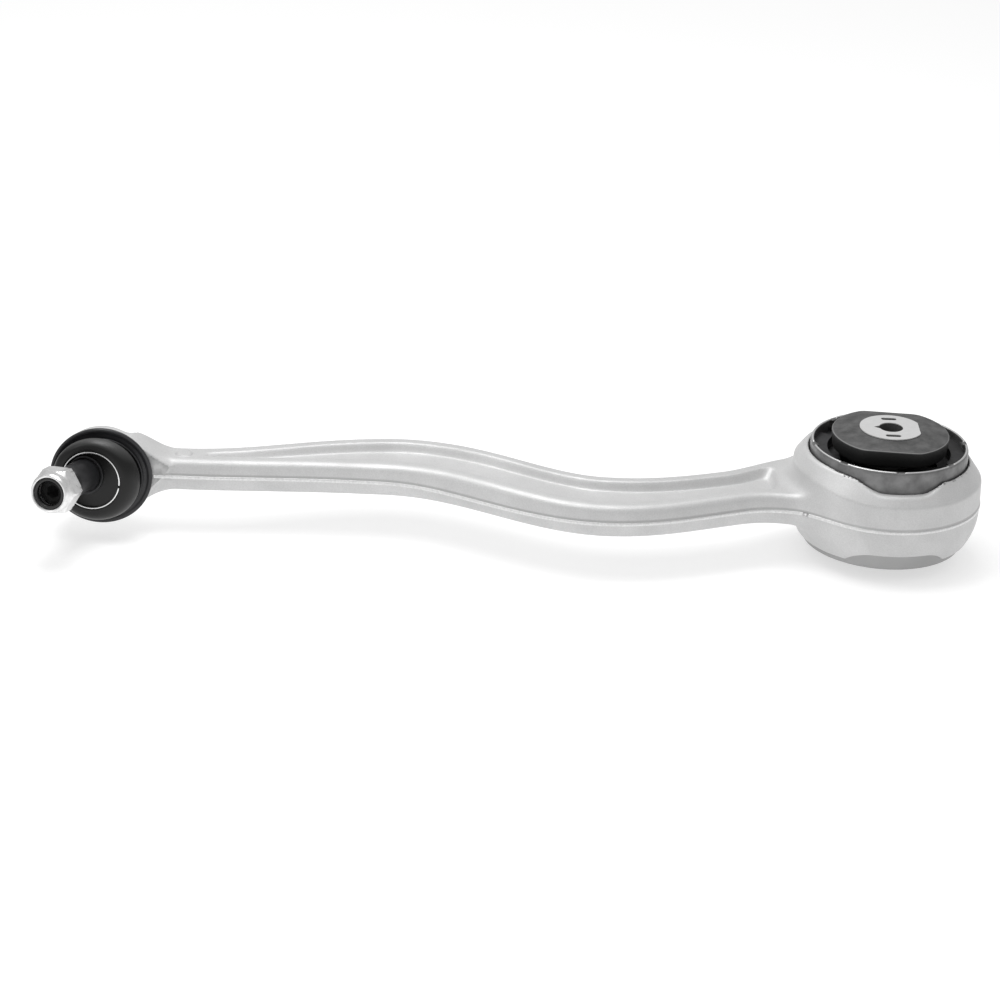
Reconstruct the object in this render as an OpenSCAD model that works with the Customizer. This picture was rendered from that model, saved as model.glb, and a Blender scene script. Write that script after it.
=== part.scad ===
// Front suspension control arm: a forged aluminium arm with a ball joint at one end and a hydraulic
// bush pressed into a collar at the other. The origin is on the bush axis in the forging's parting
// plane, +Z runs up the bush axis and the ball centre lies on -X.

/* [Arm forging] */
// Distance from the ball centre to the bush axis
arm_length = 400; // [330:1:470]
// Height of the arm between its top and bottom faces
arm_h = 17; // [14:0.5:20]
// Sideways bow of the arm towards the wheel side, near the bush
bow = 29; // [10:1:40]
// Sideways bow of the arm the other way, near the ball joint
counter_bow = 10.5; // [0:0.5:20]
// Half width of the arm at the ball joint's neck
neck_half_w = 11.2; // [10:0.2:16]
// Half width of the arm at its first bend
bend_half_w = 21.5; // [17:0.5:24]
// Half width of the arm at its widest, under the bow
belly_half_w = 22; // [18:0.5:26]
// Half width of the arm just before the collar
waist_half_w = 18.5; // [16:0.5:22]
// Width of the flanges beside the pockets
flange_w = 10; // [8:0.5:12]
// Depth of the pockets in the top and bottom faces
pocket_d = 4; // [2:0.5:5.5]

/* [Bush collar] */
// Wall of the collar around the bush sleeve
collar_wall = 7.7; // [6:0.1:12]
// Height of the collar's top edge above the parting plane
collar_top = 25; // [22:0.5:30]
// Depth of the collar's bottom edge below the parting plane
collar_bottom = 20.5; // [18:0.5:24]
// Depth of the notch in the collar's top edge
top_notch_d = 6; // [3:0.5:8]
// Depth of the notch in the collar's bottom edge
bottom_notch_d = 6; // [3:0.5:8]

/* [Hydraulic bush] */
// Outer radius of the bush sleeve
sleeve_r = 41; // [38:0.5:46]
// Thickness of the sleeve's steel wall
sleeve_t = 1.8; // [1.2:0.1:2.5]
// Height of the sleeve's top rim above the parting plane
sleeve_top = 29.4; // [29:0.1:34]
// Depth of the sleeve's bottom rim below the parting plane
sleeve_bottom = 24; // [23.5:0.1:28]
// Radius of the bolt hole through the bush core
bolt_hole_r = 6.1; // [5:0.05:7]
// Radius of the core's barrel
core_r = 13; // [11.5:0.5:15]
// Radius of the core's end plates
core_plate_r = 16; // [15.5:0.5:18]
// Height of the core's top face above the parting plane
core_top = 37.4; // [36.5:0.1:42]
// Depth of the core's bottom face below the parting plane
core_bottom = 31; // [30:0.5:36]
// Radius of the rubber stops
stop_r = 30; // [27:0.5:32]
// Distance from the bush axis to the flats on the rubber stops
stop_flat = 26.5; // [24:0.5:29]

/* [Ball joint] */
// Radius of the ball
ball_r = 14; // [13.5:0.1:14.5]
// Thickness of the plastic seat around the ball
seat_t = 2.2; // [2:0.1:2.5]
// Height of the housing's machined front face above the ball centre
face_h = 12.5; // [12:0.1:14]
// Radius of the boot's flange disc
boot_rim_r = 25.8; // [24.5:0.1:28]
// Radius of the boot's bulge
boot_r = 22; // [20.5:0.1:23]
// Radius of the boot's mouth
mouth_r = 14.4; // [12.5:0.1:14.8]
// Sideways swing of the stud as it is stored
stud_swing = 18; // [0:1:25]
// Upward tilt of the stud as it is stored
stud_tilt = 10; // [0:1:12]
// Radius of the stud's taper at its thick end
shoulder_r = 8.5; // [8.2:0.1:9.2]
// Radius of the stud's taper at its thin end
taper_r = 8; // [7.6:0.1:8.5]
// Radius of the stud's M14 thread
thread_r = 7; // [6:0.5:7.5]
// Distance from the ball centre to the end of the thread
stud_len = 63.5; // [60:0.5:70]
// Width of the nut across its flats
nut_af = 21; // [19:0.5:24]
// Height of the nut with its collar
nut_h = 16; // [14:0.5:20]

/* [Hidden] */

$fn = 96;
hull_fn = 32;
eps = 0.02;
far = 200;
running_gap = 0.05;   // between a shaft and the hole it turns in
free_gap = 0.4;       // between pieces that move past each other
neck_u = 0.1;         // places along the arm, from 0 at the ball to 1 at the bush
bend_u = 0.36;
bow_u = 0.64;
waist_u = 0.8;
flare_u = 0.94;
neck_y = -1.2;
steps = 60;           // points along each side of the arm's outline

// Centre line and half width of the arm, each a chain of half cosine waves through its knots
line_knots = [[0, 0], [neck_u, neck_y], [bend_u, counter_bow], [bow_u, -bow], [0.93, 0],
    [1, 0]];
width_knots = [[0, neck_half_w], [neck_u, neck_half_w], [0.4, bend_half_w], [0.62, belly_half_w],
    [waist_u, waist_half_w], [flare_u, waist_half_w + 14], [1, waist_half_w + 14]];

pocket_end_r = 1.3;   // least radius of a pocket's round end
end_step = 0.1;       // keeps the round ends off the corners of the pocket's outline
pocket_ends = [pocket_start(neck_u + 0.03), 0.84];

collar_r = sleeve_r + collar_wall;
cavity_r = ball_r + seat_t;
dome_r = cavity_r + 3.6;
front_r = cavity_r + 5.6;
ring_h = 5;                          // height of the retaining ring
pad_r = 4.4;                         // round pad on the top face beside the ball joint
pad_h = 0.4;
neck_r = 7.6;                        // the stud's neck, next to the ball
neck_top = 20.5;                     // distances from the ball centre along the stud
shoulder_h = 22;
lip_h = 23;
mouth_h = 26;
taper_h = 46;
mouth_room = 1.4;                    // between the stud and the mouth as the boot is stored
mouth_free = asin((mouth_r - shoulder_r - mouth_room) / mouth_h); // lean the stud takes alone
stud_lean = acos(cos(stud_swing) * cos(stud_tilt));
mouth_share = stud_lean > mouth_free ? 1 - mouth_free / stud_lean : 0;
bulge_share = 0.3;
boot_t = 2.2;
lip_w = 1.6;
lip_ring_h = 1.8;
flange_ring_r = cavity_r + 3;        // bore of the boot's flange disc
flange_ring_t = 2.2;
foot_h = face_h + flange_ring_t;     // the boot's foot stands on the flange disc
foot_r = boot_r - 2;
foot_l = 3.2;
bulge_h = foot_h + 5;
clamp_r = 0.7;                       // section of the wire that clamps the boot's foot
insert_h = 3;
insert_r = thread_r + 0.7;           // the nylon ring is cut by the thread as the nut goes on
insert_bore = thread_r - 0.9;
nut_h0 = stud_len + insert_h + 2.5 - nut_h;
cage_r = 33.5;
cage_t = 2;
flange_h = 21;                       // half height of the window cage
flange_t = 3;
ring_r = sleeve_r - sleeve_t;        // bore of the sleeve
stop_base = 26.5;                    // height of the stops' inner faces
stop_top = core_top - 2.4;
stop_low = core_bottom - 2;
plate_in = 3;                        // rubber around the steel plates in the stops
notch_turn = 4.5;

function clamp01(t) = min(max(t, 0), 1);
function wave(a, b, t) = a + (b - a) * (1 - cos(180 * clamp01(t))) / 2;
function along(knots, u, i = 0) =
    i == len(knots) - 2 || u <= knots[i + 1][0]
    ? wave(knots[i][1], knots[i + 1][1], (u - knots[i][0]) / (knots[i + 1][0] - knots[i][0]))
    : along(knots, u, i + 1);
// First place along the arm, from u on, where a pocket's round end fits between the flanges
function pocket_start(u) =
    u >= bow_u || along(width_knots, u) - flange_w >= pocket_end_r ? u : pocket_start(u + 0.005);
function line_point(u) = [-arm_length * (1 - u), along(line_knots, u)];
function line_side(u) =
    let (d = line_point(u + 0.002) - line_point(u - 0.002)) [-d[1], d[0]] / norm(d);
// Outline of the arm from above between two places, drawn in from its edges by inset
function outline(u0, u1, inset) = concat(
    [for (i = [0:steps]) let (u = u0 + (u1 - u0) * i / steps)
        line_point(u) + line_side(u) * (along(width_knots, u) - inset)],
    [for (i = [steps:-1:0]) let (u = u0 + (u1 - u0) * i / steps)
        line_point(u) - line_side(u) * (along(width_knots, u) - inset)]);
// Points of an arc about a centre on the axis
function arc(r, h, from, to, n = 24) =
    [for (i = [0:n]) let (a = from + (to - from) * i / n) [r * cos(a), h + r * sin(a)]];

module at_ball() translate([-arm_length, 0, 0]) rotate([90, 0, 0]) children();
module at_swing(share, tilt_share = 1) translate([-arm_length, 0, 0])
    rotate([-stud_tilt * tilt_share, 0, 0]) rotate([0, 0, -stud_swing * share])
        rotate([90, 0, 0]) children();
module tube(r_out, r_in, z0, z1) translate([0, 0, z0]) difference() {
    cylinder(h = z1 - z0, r = r_out);
    translate([0, 0, -eps]) cylinder(h = z1 - z0 + 2 * eps, r = r_in);
}
module both_sides() for (side = [0, 180]) rotate([0, 0, side]) children();

// ---------------------------------------------------------------- arm
module pocket(face) translate([0, 0, face > 0 ? arm_h / 2 - pocket_d : -arm_h / 2 - eps])
    linear_extrude(height = pocket_d + eps) {
        polygon(outline(pocket_ends[0], pocket_ends[1], flange_w));
        for (u = pocket_ends) translate(line_point(u)) circle(r = along(width_knots, u) - flange_w - end_step);
    }
module collar_blank() {
    lean = 5;
    rotate_extrude() polygon([[0, -collar_bottom], [collar_r - lean, -collar_bottom],
        [collar_r - 0.6, -collar_bottom / 2], [collar_r, 0], [collar_r - 0.4, collar_top / 2],
        [collar_r - lean - 1, collar_top], [0, collar_top]]);
}
module notch(depth, z) {
    half_top = 24;
    half_floor = 14;
    both_sides() rotate([0, 0, notch_turn]) translate([0, -sleeve_r / 2, z])
        rotate([90, 0, 0]) linear_extrude(height = far / 2)
            polygon([[-half_floor, -depth], [half_floor, -depth], [half_top, eps], [-half_top, eps]]);
}
module housing_blank() {
    back = cavity_r + 2.8;
    rotate_extrude() polygon(concat([[0, face_h], [front_r, face_h], [front_r, 2]],
        [for (a = [-10:-10:-60]) [dome_r * cos(a), dome_r * sin(a)]],
        [[dome_r * cos(70), -back], [0, -back]]));
}
module arm_forging() color("gainsboro") difference() {
    union() {
        linear_extrude(height = arm_h, center = true) polygon(outline(0.05, 0.99, 0));
        collar_blank();
        at_ball() housing_blank();
        translate(concat(line_point(neck_u), [arm_h / 2])) cylinder(h = pad_h, r = pad_r);
        hull() {
            translate([-arm_length * (1 - neck_u) - 6, neck_y - neck_half_w + 1, -arm_h / 2])
                cube([8, 2 * neck_half_w - 2, arm_h]);
            at_ball() translate([0, 0, -6]) cylinder(h = face_h + 4, r = dome_r - 1.5, $fn = hull_fn);
        }
    }
    for (face = [1, -1]) pocket(face);
    translate([0, 0, -far / 2]) cylinder(h = far, r = sleeve_r);
    notch(top_notch_d, collar_top);
    mirror([0, 0, 1]) notch(bottom_notch_d, collar_bottom);
    at_ball() {
        translate([0, 0, face_h]) cylinder(h = far / 4, r = boot_rim_r + 9);
        rotate_extrude() polygon(concat([[0, face_h + eps], [cavity_r, face_h + eps]],
            arc(cavity_r, 0, 0, -90)));
    }
}

// ---------------------------------------------------------------- ball joint, fixed pieces
opening_r = ball_r * cos(28);
module ball_seat() color("ivory") at_ball() rotate_extrude() polygon(concat(
    [[cavity_r, face_h - ring_h], [cavity_r, 0]], arc(cavity_r, 0, 0, -90),
    arc(ball_r + running_gap, 0, -90, 28), [[opening_r + 0.6, face_h - ring_h]]));
module retaining_ring() color("dimgray") at_ball() rotate_extrude() polygon([
    [opening_r + 0.8, face_h - ring_h], [cavity_r, face_h - ring_h],
    [cavity_r, face_h], [opening_r + 3.2, face_h]]);
module boot_flange_ring() color("#222222") at_ball() rotate_extrude() polygon([
    [flange_ring_r, face_h], [boot_rim_r - 0.8, face_h], [boot_rim_r, face_h + 0.6],
    [boot_rim_r, foot_h - 0.6], [boot_rim_r - 0.6, foot_h], [flange_ring_r, foot_h]]);
module boot_base_ring() color("#303030") at_ball()
    rotate_extrude() translate([foot_r + clamp_r, foot_h + clamp_r + 0.3])
        circle(r = clamp_r);

// ---------------------------------------------------------------- dust boot
module boot_disc(share, r, h, t) at_swing(share, share) translate([0, 0, h]) cylinder(h = t, r = r, $fn = 48);
module bulge(wall) at_swing(bulge_share, bulge_share) translate([0, 0, bulge_h])
    cylinder(h = 1.5, r = boot_r - wall, $fn = 48);
// The boot's outer form, or with a wall taken off it its inner one
module boot_form(wall) {
    hull() {
        at_ball() translate([0, 0, foot_h + foot_l - 0.2]) cylinder(h = 0.2, r = foot_r - wall, $fn = 48);
        bulge(wall);
    }
    hull() {
        bulge(wall);
        boot_disc(mouth_share, mouth_r + 2 - wall, mouth_h - wall, 0.8);
    }
}
module dust_boot() color("#1c1c1c") difference() {
    union() {
        boot_form(0);
        at_ball() tube(foot_r, foot_r - boot_t, foot_h, foot_h + foot_l);
    }
    boot_form(boot_t);
    at_ball() cylinder(h = foot_h + foot_l, r = foot_r - boot_t, $fn = 48);
    boot_disc(mouth_share, mouth_r - 0.8, mouth_h - 6, 12);
    boot_disc(1, shoulder_r + lip_w + free_gap, neck_top, 30);
}
module boot_mouth_ring() color("silver") at_swing(mouth_share, mouth_share) difference() {
    tube(mouth_r + 0.8, mouth_r, mouth_h + 0.85, mouth_h + 1.85);
    rotate([0, 0, -12]) translate([mouth_r, 0, mouth_h]) cube([4, 1.2, 6], center = true);
}
module boot_lip_ring() color("#2a2a2a") at_swing(1)
    tube(shoulder_r + lip_w, shoulder_r + running_gap, lip_h, lip_h + lip_ring_h);

// ---------------------------------------------------------------- stud and nut
module ball_stud() color("#262626") at_swing(1) difference() {
    flat_a = 62;
    rotate_extrude() polygon(concat(
        [[0, -ball_r * sin(flat_a)]], arc(ball_r, 0, -flat_a, acos(neck_r / ball_r)),
        [[neck_r, neck_top], [shoulder_r, shoulder_h], [shoulder_r, lip_h + 3],
        [taper_r, taper_h], [thread_r, taper_h + 1], [thread_r, stud_len - 1],
        [thread_r - 1, stud_len], [0, stud_len]]));
    translate([0, 0, stud_len - 5]) cylinder(h = 6, r = 3, $fn = 6);
}
module stud_nut() color("gainsboro") at_swing(1) {
    hex_h = nut_h - 4.5;
    corner_r = nut_af / 2 / cos(30);
    difference() {
        union() {
            intersection() {
                translate([0, 0, nut_h0]) cylinder(h = hex_h, r = corner_r, $fn = 6);
                translate([0, 0, nut_h0 - 5]) cylinder(h = hex_h + 10, r1 = nut_af / 2 - 1 + 10,
                    r2 = nut_af / 2);
            }
            translate([0, 0, nut_h0 + hex_h - 1]) cylinder(h = nut_h - hex_h + 1, r = nut_af / 2 - 0.3);
        }
        translate([0, 0, nut_h0 - eps]) cylinder(h = nut_h, r = thread_r);
        translate([0, 0, nut_h0 + nut_h - insert_h - 0.6]) cylinder(h = insert_h, r = insert_r);
        translate([0, 0, nut_h0 + nut_h - insert_h]) cylinder(h = far, r = insert_r - 0.5);
    }
}
module nut_insert() color("#151515") at_swing(1)
    tube(insert_r, insert_bore, nut_h0 + nut_h - insert_h - 0.6, nut_h0 + nut_h - 0.6);

// ---------------------------------------------------------------- hydraulic bush, fixed pieces
lip_r = ring_r - 2.4;
module bush_sleeve() color("darkgray") union() {
    tube(sleeve_r, ring_r, -sleeve_bottom + sleeve_t, sleeve_top - sleeve_t);
    translate([0, 0, sleeve_top - sleeve_t]) difference() {
        cylinder(h = sleeve_t, r1 = sleeve_r, r2 = sleeve_r - sleeve_t);
        translate([0, 0, -eps]) cylinder(h = sleeve_t + 2 * eps, r = lip_r);
    }
    translate([0, 0, -sleeve_bottom]) difference() {
        cylinder(h = sleeve_t, r1 = sleeve_r - sleeve_t, r2 = sleeve_r);
        translate([0, 0, -eps]) cylinder(h = sleeve_t + 2 * eps, r = lip_r);
    }
}
window_a = 34;
module wedge(half_a, r, z0, z1) translate([0, 0, z0]) linear_extrude(height = z1 - z0)
    polygon(concat([[0, 0]], [for (i = [0:8]) let (a = -90 - half_a + 2 * half_a * i / 8)
        [r * cos(a), r * sin(a)]]));
module window_cage() color("dimgray") difference() {
    union() {
        tube(cage_r, cage_r - cage_t, -flange_h, flange_h);
        for (z = [-flange_h, flange_h - flange_t]) tube(ring_r, cage_r - eps, z, z + flange_t);
    }
    both_sides() wedge(window_a, far / 4, -11, 11);
    for (z = [-flange_h + flange_t / 2, flange_h - flange_t / 2])
        tube(ring_r + 1, ring_r - 1.8, z - 0.9, z + 0.9);
}
module main_spring() color("#181818") difference() {
    tube(cage_r - cage_t, core_r + running_gap, -flange_h + 2, flange_h - 2);
    both_sides() difference() {
        wedge(window_a, cage_r, -11, 11);
        cylinder(h = far, r = core_r + 5, center = true);
    }
    for (side = [-1, 1]) translate([side * (core_r + 9), 0, 0])
        cube([5, 14, far], center = true);
}
module channel_shell(side) color("#3c3c3c") difference() {
    tube(ring_r, cage_r, -flange_h + flange_t, flange_h - flange_t);
    for (z = [-9, 4]) tube(ring_r + 1, ring_r - 2.6, z, z + 5);
    translate([-side * far / 2 + side * 0.1, 0, 0]) cube([far, far, far], center = true);
    rotate([0, 0, 40 * side]) translate([side * (cage_r - 1), 0, 6.5]) rotate([0, 90 * side, 0])
        cylinder(h = 10, r = 1.8);
}
module channel_shell_left() channel_shell(-1);
module channel_shell_right() channel_shell(1);
module bump_ring() difference() {
    tube(ring_r, cage_r - cage_t, flange_h, flange_h + 4);
    for (a = [38, 142, 218, 322]) rotate([0, 0, a]) translate([cage_r, 0, flange_h + 4])
        cube([20, 9, 4], center = true);
}
module bump_ring_top() color("#2b2b2b") bump_ring();
module bump_ring_bottom() color("#2b2b2b") tube(lip_r - 0.5, cage_r - cage_t, -flange_h - 1, -flange_h);
module seal_ring(z) color("#101010") rotate_extrude() translate([ring_r - 0.9, z]) circle(r = 0.9);
module seal_ring_top() seal_ring(flange_h - flange_t / 2);
module seal_ring_bottom() seal_ring(-flange_h + flange_t / 2);

// ---------------------------------------------------------------- bush core and stops
module bush_core() color("lightgray") difference() {
    union() {
        translate([0, 0, -core_bottom]) cylinder(h = core_bottom + core_top, r = core_r);
        intersection() {
            union() {
                tube(core_plate_r, core_r - eps, stop_top, core_top);
                tube(core_plate_r, core_r - eps, -core_bottom, -stop_low);
            }
            translate([-far / 2, -far / 2, -far / 2]) cube([far / 2 + core_plate_r - 1.6, far, far]);
        }
    }
    translate([0, 0, -far / 2]) cylinder(h = far, r = bolt_hole_r);
    for (y = [-11, 11]) translate([0, y, core_top - 1.5]) slot(4, 1.4, 3);
    translate([-bolt_hole_r - 0.4, 0, core_top - 2]) rotate([0, 0, 60]) cylinder(h = 4, r = 2.4, $fn = 3);
}
module slot(half_l, r, h) linear_extrude(height = h) {
    square([2 * (half_l - r), 2 * r], center = true);
    for (side = [-1, 1]) translate([side * (half_l - r), 0]) circle(r = r);
}
module stop_shape(r, flat, z0, z1) intersection() {
    tube(r, core_r, z0, z1);
    translate([0, 0, (z0 + z1) / 2]) cube([far, 2 * flat, z1 - z0], center = true);
}
module stop_plate(z0, z1) stop_shape(stop_r - plate_in, stop_flat - plate_in, z0, z1);
module top_stop() color("#1b1b1b") difference() {
    stop_shape(stop_r, stop_flat, stop_base, stop_top);
    stop_plate(stop_base + 2, stop_base + 5);
}
module top_stop_plate() color("gray") stop_plate(stop_base + 2, stop_base + 5);
module bottom_stop() color("#1b1b1b") difference() {
    stop_shape(stop_r, stop_flat, -stop_low, -flange_h - 1 - free_gap);
    stop_plate(-stop_low + 2, -stop_low + 4);
}
module bottom_stop_plate() color("gray") stop_plate(-stop_low + 2, -stop_low + 4);

arm_forging();
ball_seat();
retaining_ring();
boot_flange_ring();
boot_base_ring();
dust_boot();
boot_mouth_ring();
boot_lip_ring();
ball_stud();
stud_nut();
nut_insert();
bush_sleeve();
bush_core();
main_spring();
window_cage();
channel_shell_left();
channel_shell_right();
bump_ring_top();
bump_ring_bottom();
top_stop();
top_stop_plate();
bottom_stop();
bottom_stop_plate();
seal_ring_top();
seal_ring_bottom();
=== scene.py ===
"""A forged aluminium front suspension control arm with a booted ball joint and a hydraulic bush.

Shapes are worked out in millimetres in the part's own frame and become metres when a mesh is made.
The origin is on the bush axis in the forging's parting plane, and the ball centre lies 400 mm along -X.
"""

import bpy
import numpy as np
from mathutils import Matrix, Vector


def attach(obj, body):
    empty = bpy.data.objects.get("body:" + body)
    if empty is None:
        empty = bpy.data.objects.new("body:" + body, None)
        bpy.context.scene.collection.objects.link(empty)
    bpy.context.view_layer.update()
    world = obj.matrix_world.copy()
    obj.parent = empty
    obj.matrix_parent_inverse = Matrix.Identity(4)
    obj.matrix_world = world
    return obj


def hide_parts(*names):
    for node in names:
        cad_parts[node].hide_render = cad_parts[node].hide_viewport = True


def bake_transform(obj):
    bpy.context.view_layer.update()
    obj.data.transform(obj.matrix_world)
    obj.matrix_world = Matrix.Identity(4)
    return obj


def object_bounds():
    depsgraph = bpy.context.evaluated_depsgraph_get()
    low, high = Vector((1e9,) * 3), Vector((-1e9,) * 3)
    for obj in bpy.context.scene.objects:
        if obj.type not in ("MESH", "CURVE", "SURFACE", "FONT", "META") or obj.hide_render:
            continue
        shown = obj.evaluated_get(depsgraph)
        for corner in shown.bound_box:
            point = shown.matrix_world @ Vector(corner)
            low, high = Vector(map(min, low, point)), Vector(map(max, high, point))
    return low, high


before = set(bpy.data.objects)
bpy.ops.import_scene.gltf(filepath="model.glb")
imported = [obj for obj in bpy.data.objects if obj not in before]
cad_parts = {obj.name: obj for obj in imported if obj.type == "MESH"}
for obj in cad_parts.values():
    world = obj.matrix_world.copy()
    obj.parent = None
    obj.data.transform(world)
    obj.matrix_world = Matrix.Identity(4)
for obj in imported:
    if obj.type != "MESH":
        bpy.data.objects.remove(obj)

scene = bpy.context.scene
cad_box = [list(corner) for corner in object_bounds()]

# ------------------------------------------------------------------ studio
# A long lens looks down on the part from the front, turned a little so that the arm falls to the right.
# Three square soft lights hang over a plain white floor, and a pale sky fills the rest.
view_target = Vector((-0.1971, 0, -0.0113))
view_azimuth = np.radians(1.8)
view_elevation = np.radians(23.92)
view_roll = np.radians(2.89)
view_distance = 1.8

camera_data = bpy.data.cameras.new("studio_camera")
camera_data.lens = 126.3
camera_data.sensor_width = 36
camera_data.clip_end = 50
camera = bpy.data.objects.new("studio_camera", camera_data)
turned_view = (Matrix.Rotation(-view_azimuth, 4, "Z")
               @ Matrix.Rotation(np.pi / 2 - view_elevation, 4, "X")
               @ Matrix.Rotation(view_roll, 4, "Z"))
camera.matrix_world = (Matrix.Translation(view_target) @ turned_view
                       @ Matrix.Translation((0, 0, view_distance)))
scene.collection.objects.link(camera)
scene.camera = camera
scene.view_settings.view_transform = "Standard"

floor_half = 6
floor_z = cad_box[0][2] - 0.0005
floor_mesh = bpy.data.meshes.new("studio_floor")
floor_mesh.from_pydata([(x, y, floor_z) for x, y in
                        ((-floor_half, -floor_half), (floor_half, -floor_half),
                         (floor_half, floor_half), (-floor_half, floor_half))], [], [(0, 1, 2, 3)])
floor = bpy.data.objects.new("studio_floor", floor_mesh)
scene.collection.objects.link(floor)

sky = bpy.data.worlds.new("pale_sky")
sky.use_nodes = True
sky.node_tree.nodes["Background"].inputs["Color"].default_value = (1, 1, 1, 1)
sky.node_tree.nodes["Background"].inputs["Strength"].default_value = 0.5
scene.world = sky


def softbox(name, place, aim, size, power):
    """A square area light at a place, facing the aim."""
    data = bpy.data.lights.new(name, "AREA")
    data.shape = "SQUARE"
    data.size = size
    data.energy = power
    lamp = bpy.data.objects.new(name, data)
    lamp.location = place
    lamp.rotation_euler = (Vector(aim) - Vector(place)).to_track_quat("-Z", "Y").to_euler()
    scene.collection.objects.link(lamp)


softbox("overhead_softbox", (-0.25, 0.2, 1.1), (-0.2, 0, 0), 0.75, 6)
softbox("left_softbox", (-1.4, -0.7, 0.8), (-0.3, 0, 0), 0.5, 1.2)
softbox("boot_softbox", (-0.42, -0.12, 0.75), (-0.41, -0.03, 0), 0.32, 1.9)


# ------------------------------------------------------------------ arm forging
# One aluminium forging, trimmed along its parting plane and blasted: the S-shaped arm with a pocket
# in its top and bottom faces, the bush collar with its notches and the ball joint's housing.
arm_length = 400
arm_h = 17
line_knots = [(0, 0), (0.1, -1.2), (0.36, 10.5), (0.64, -29), (0.93, 0), (1, 0)]
width_knots = [(0, 11.2), (0.1, 11.2), (0.4, 21.5), (0.62, 22), (0.8, 18.5), (0.94, 32.5), (1, 32.5)]
arm_left, arm_right = -382, -6
side_draft = 0.2
arm_round, pocket_round = 4, 8
flange_w = 10
pocket_left, pocket_right = -349, -57
pocket_d, pocket_more_d = 3.6, 1
pocket_edge_in, pocket_fall = 1.5, 4.2
swell_h, swell_x, swell_w = 1.7, -205, 42
pad_x, pad_y, pad_r, pad_h = -359, -1.4, 4.6, 0.6
ridge_x, ridge_z, ridge_up, ridge_down = -363.2, 5.7, 1.09, 0.82
gusset_slope, gusset_most = 0.7, 12
head_x, head_run, head_rise = -363, 21, 7
collar_r, collar_draft = 48.7, 0.03
collar_top, collar_bottom = 25, -20.5
cone_r, cone_z, cone_slope, cone_out = 47.6, 14.2, 0.72, 3.6
under_r, under_z, under_slope = 48.2, -11, 0.5
collar_notch_d = 6
notch_turn, notch_round = 4.5, 1.6
top_notch_half, top_notch_run = 13, 21.5
low_notch_half, low_notch_run = 16, 20
sleeve_r = 41
cavity_r = 16.2
front_r = 21.8
dome_r = 19.8
back_y = 19
face_h = 12.5
boot_rim_r = 25.8
spot_face_r = boot_rim_r + 9
collar_blend, housing_blend = 8, 9
bore_round, spot_round = 0.8, 0.5
ball = np.array([-arm_length, 0, 0])


def ease(t):
    """0 before 0, 1 after 1, and the cubic 3t^2 - 2t^3 between them."""
    t = np.clip(t, 0, 1)
    return t * t * (3 - 2 * t)


def wave_chain(knots, u):
    """Half cosine waves through the knots, each a place and a value, flat at every knot."""
    places, values = np.array(knots, float).T
    i = np.clip(np.searchsorted(places, u, side="right") - 1, 0, len(places) - 2)
    t = np.clip((u - places[i]) / (places[i + 1] - places[i]), 0, 1)
    return values[i] + (values[i + 1] - values[i]) * (1 - np.cos(np.pi * t)) / 2


def soft_min(a, b, width):
    """The smaller of a and b, rounded by a parabola where they differ by less than the width."""
    h = np.clip(0.5 + 0.5 * (b - a) / width, 0, 1)
    return b + (a - b) * h - width * h * (1 - h)


def soft_max(a, b, width):
    """The larger of a and b, rounded in the same way."""
    return -soft_min(-a, -b, width)


def arm_beam(x, y, z):
    """Distance outside the arm: its half width along the bowed line less a draft that grows away from
    the parting plane, joined to its height, which sinks by a pocket between the flanges. The height swells
    at mid length, has a small round pad on top and rises at the head, where a gusset widens the front."""
    def line_at(along_x):
        u = 1 + along_x / arm_length
        rise = wave_chain(line_knots, u + 0.001) - wave_chain(line_knots, u - 0.001)
        return wave_chain(line_knots, u), rise / (0.002 * arm_length)

    line, slope = line_at(x)
    foot_x = x + (y - line) * slope / (1 + slope ** 2)
    line, slope = line_at(foot_x)
    across = (y - line - slope * (x - foot_x)) / np.sqrt(1 + slope ** 2)
    half = wave_chain(width_knots, 1 + foot_x / arm_length)
    pocket_depth = pocket_d + pocket_more_d * ease((x + 340) / 90)
    pocket_end = np.maximum(pocket_left - x, x - pocket_right)
    pocket_edge = soft_max(np.abs(across) - (half - flange_w), pocket_end, pocket_round)
    sunk = pocket_depth * ease((pocket_edge_in - pocket_edge) / pocket_fall)
    lift = swell_h * np.exp(-((x - swell_x) / swell_w) ** 2)
    pad = pad_h * ease((pad_r - np.hypot(x - pad_x, y - pad_y)) / 0.7)
    off_ridge = np.where(z > ridge_z, ridge_up * (z - ridge_z), ridge_down * (ridge_z - z))
    gusset = gusset_slope * np.clip(ridge_x - off_ridge - x, 0, gusset_most) * (y < line)
    side = np.abs(across) - half + side_draft * np.abs(z) - gusset
    rise = head_rise * ease((head_x - x) / head_run)
    face = np.maximum(z - lift - pad, lift - z) - arm_h / 2 + sunk - rise
    return np.maximum(soft_max(side, face, arm_round), np.maximum(arm_left - x, x - arm_right))


def collar_ring(x, y, z):
    """Distance outside the collar's blank: an upright wall, with a cone above it that leans out towards
    the arm and a steeper one below it."""
    radius = np.hypot(x, y)
    to_arm = ease(1.25 - np.arccos(np.clip(-x / np.maximum(radius, 1), -1, 1)) / 1.1)
    wall = radius - collar_r + collar_draft * np.abs(z)
    cone = (radius - cone_r - cone_out * to_arm + cone_slope * (z - cone_z)) / 1.23
    under = (radius - under_r - under_slope * (z - under_z)) / 1.12
    wall = soft_max(soft_max(wall, cone, 0.6), under, 3)
    return np.maximum(wall, np.abs(z) - collar_top - 1)


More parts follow.
